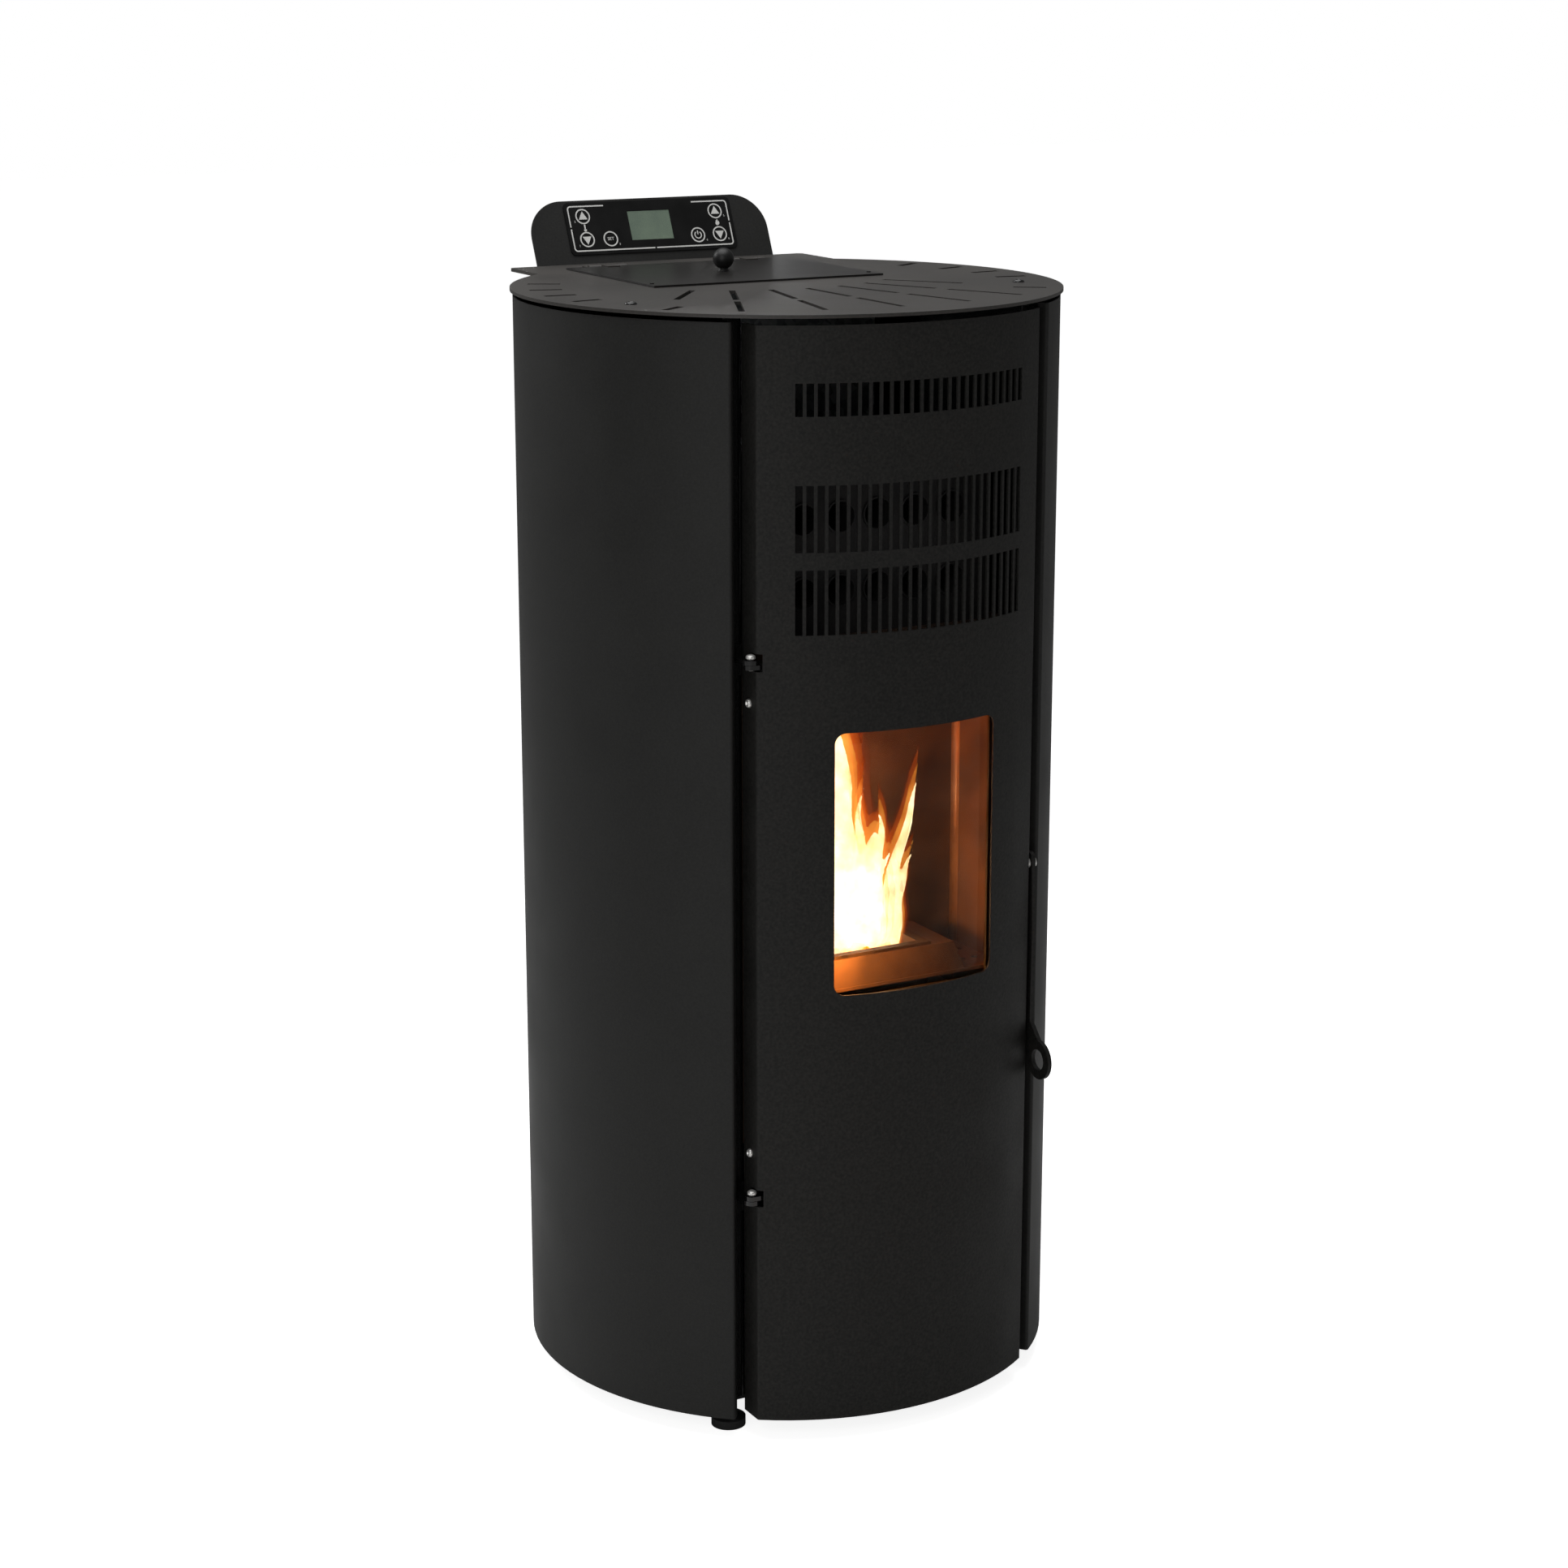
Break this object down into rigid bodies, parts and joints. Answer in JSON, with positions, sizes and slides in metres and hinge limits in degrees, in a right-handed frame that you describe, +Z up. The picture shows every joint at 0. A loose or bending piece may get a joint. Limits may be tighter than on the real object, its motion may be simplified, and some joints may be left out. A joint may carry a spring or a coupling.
{
  "type": "pellet stove",
  "caption": "Round free-standing pellet stove with a curved glazed door, lever latch, top hopper lid, control panel and rear flue stub.",
  "frame": {"origin": "on the floor, halfway between the door's front and the end of the flue stub, in the middle of the width; the round body's axis is 20 mm in front of it", "axes": "+Z up, -Y the way the door faces, +X to the right as seen facing the stove"},
  "size_m": [0.5048, 0.5539, 1.0907],
  "materials": {
    "panel_paint": "matt black heat-resistant paint",
    "door_paint": "fine-textured matt black stove paint",
    "top_paint": "satin dark grey-black textured paint",
    "gloss_enamel": "gloss black paint",
    "grey_sheet": "matt black paint on flat sheet",
    "galvanised": "galvanised sheet",
    "bright_steel": "bright zinc-plated steel",
    "firebox_steel": "heat-browned black steel",
    "pot_iron": "as cast, heat-browned",
    "ceramic_glass": "clear ceramic glass",
    "rope_seal": "black glass-fibre rope",
    "knob_plastic": "black phenolic ball",
    "bezel_plastic": "gloss black film",
    "screen": "grey-green display glass",
    "casing_plastic": "black moulded plastic",
    "motor_steel": "laminated steel and zinc castings"
  },
  "bodies": {
    "stove": {"base_plate": "grey_sheet", "levelling_feet": "casing_plastic", "foot_nuts": "bright_steel", "chassis_right": "gloss_enamel", "chassis_left": "gloss_enamel", "side_panel_right": "panel_paint", "side_panel_left": "panel_paint", "rear_panel": "grey_sheet", "case_screws": "galvanised", "top_plate": "top_paint", "top_plate_bolts": "top_paint", "plate_hinge_knuckles": "top_paint", "lid_hinge_pins": "bright_steel", "control_panel_plate": "top_paint", "display_bezel": "bezel_plastic", "lcd_screen": "screen", "display_casing": "casing_plastic", "hinge_lugs": "gloss_enamel", "hinge_pins": "bright_steel", "latch_stud": "gloss_enamel", "firebox": "firebox_steel", "firebox_floor": "firebox_steel", "pot_stand": "firebox_steel", "igniter_sleeve": "bright_steel", "igniter": "bright_steel", "exchanger_shell": "firebox_steel", "exchanger_tubes": "firebox_steel", "air_duct": "galvanised", "smoke_duct": "firebox_steel", "smoke_fan_case": "firebox_steel", "smoke_fan_motor": "motor_steel", "flue_outlet": "firebox_steel", "room_fan_case": "galvanised", "room_fan_motor": "motor_steel", "air_intake": "bright_steel", "auger_tube": "bright_steel", "auger_motor": "motor_steel", "pellet_chute": "firebox_steel", "hopper": "galvanised", "mains_inlet": "casing_plastic", "control_board": "casing_plastic"},
    "door": {"door_skin": "door_paint", "door_inner_frame": "firebox_steel", "door_gasket": "rope_seal", "door_glass": "ceramic_glass", "glass_gasket": "rope_seal", "glass_retainers": "firebox_steel", "door_hinge_brackets": "gloss_enamel", "door_screws": "bright_steel", "latch_bolt": "bright_steel"},
    "latch": {"latch_lever": "door_paint"},
    "lid": {"hopper_lid": "top_paint", "lid_knob": "knob_plastic", "lid_hinge_knuckles": "top_paint"},
    "auger": {"auger_screw": "bright_steel"},
    "smoke_wheel": {"smoke_impeller": "bright_steel"},
    "room_wheel": {"room_fan_wheel": "bright_steel"},
    "drawer": {"ash_drawer": "firebox_steel"},
    "pot": {"burn_pot": "pot_iron"},
    "rocker": {"power_rocker": "bezel_plastic"}
  },
  "joints": [
    {"name": "door_hinge", "type": "hinge", "parent": "stove", "child": "door", "pos_m": [-0.14502, -0.22004, 0.5], "axis": [0, 0, -1], "range_deg": [0, 110]},
    {"name": "latch_turn", "type": "hinge", "parent": "door", "child": "latch", "pos_m": [0.14852, -0.21704, 0.512], "axis": [-1, 0, 0], "range_deg": [0, 25]},
    {"name": "lid_hinge", "type": "hinge", "parent": "stove", "child": "lid", "pos_m": [0, 0.2015, 1.0323], "axis": [-1, 0, 0], "range_deg": [0, 85]},
    {"name": "auger_spin", "type": "hinge", "parent": "stove", "child": "auger", "pos_m": [0, -0.07974, 0.64], "axis": [0, -0.7071, 0.7071], "continuous": true},
    {"name": "smoke_fan_spin", "type": "hinge", "parent": "stove", "child": "smoke_wheel", "pos_m": [0.08902, 0.00996, 0.19], "axis": [1, 0, 0], "continuous": true},
    {"name": "room_fan_spin", "type": "hinge", "parent": "stove", "child": "room_wheel", "pos_m": [-0.08, -0.03874, 0.13], "axis": [1, 0, 0], "continuous": true},
    {"name": "ash_drawer_slide", "type": "slide", "parent": "stove", "child": "drawer", "axis": [0, -1, 0], "range_m": [0, 0.08]},
    {"name": "burn_pot_lift", "type": "slide", "parent": "stove", "child": "pot", "axis": [0, 0, 1], "range_m": [0, 0.04]},
    {"name": "power_rocker_tilt", "type": "hinge", "parent": "stove", "child": "rocker", "pos_m": [-0.05701, 0.215, 0.11], "axis": [1, 0, 0], "range_deg": [0, 12]}
  ],
  "couplings": [
    {"joint": "ash_drawer_slide", "follows": "door_hinge", "m_per_rad": 0.04}
  ]
}
